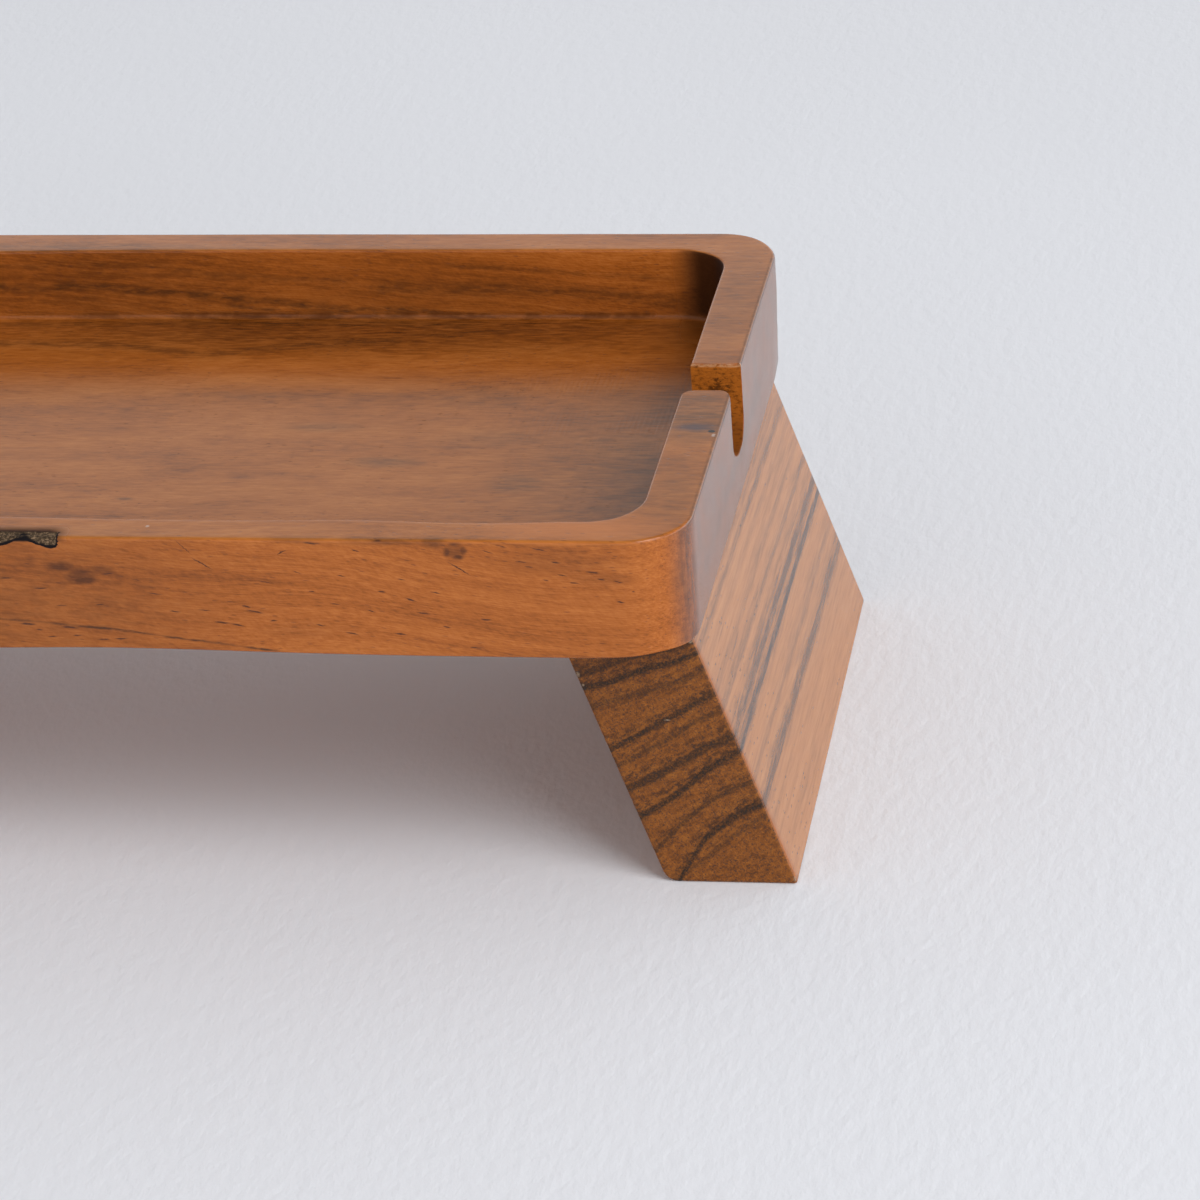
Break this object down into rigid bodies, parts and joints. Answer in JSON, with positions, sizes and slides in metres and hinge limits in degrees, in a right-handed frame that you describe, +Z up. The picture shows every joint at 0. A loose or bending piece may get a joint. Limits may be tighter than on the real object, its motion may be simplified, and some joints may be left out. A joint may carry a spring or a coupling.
{
  "type": "desk organizer tray",
  "caption": "Raised wooden desk tray: a routed board with rounded corners and a cable slot in one end wall, on two splayed plank legs.",
  "frame": {"origin": "on the desk, under the middle of the tray's length and depth", "axes": "+X along the tray towards its slotted end, +Y towards its back edge, +Z up"},
  "size_m": [0.338, 0.15, 0.0793],
  "materials": {
    "tray_wood": "warm orange-brown hardwood, satin clear finish, grain along the length",
    "leg_wood": "tan hardwood with dark growth rings, satin clear finish, grain from front to back",
    "dowel_wood": "plain pale hardwood, unfinished"
  },
  "bodies": {
    "root": {"tray_board": "tray_wood", "leg_right": "leg_wood", "leg_left": "leg_wood", "dowel_right_front": "dowel_wood", "dowel_right_middle": "dowel_wood", "dowel_right_back": "dowel_wood", "dowel_left_front": "dowel_wood", "dowel_left_middle": "dowel_wood", "dowel_left_back": "dowel_wood"}
  },
  "joints": []
}
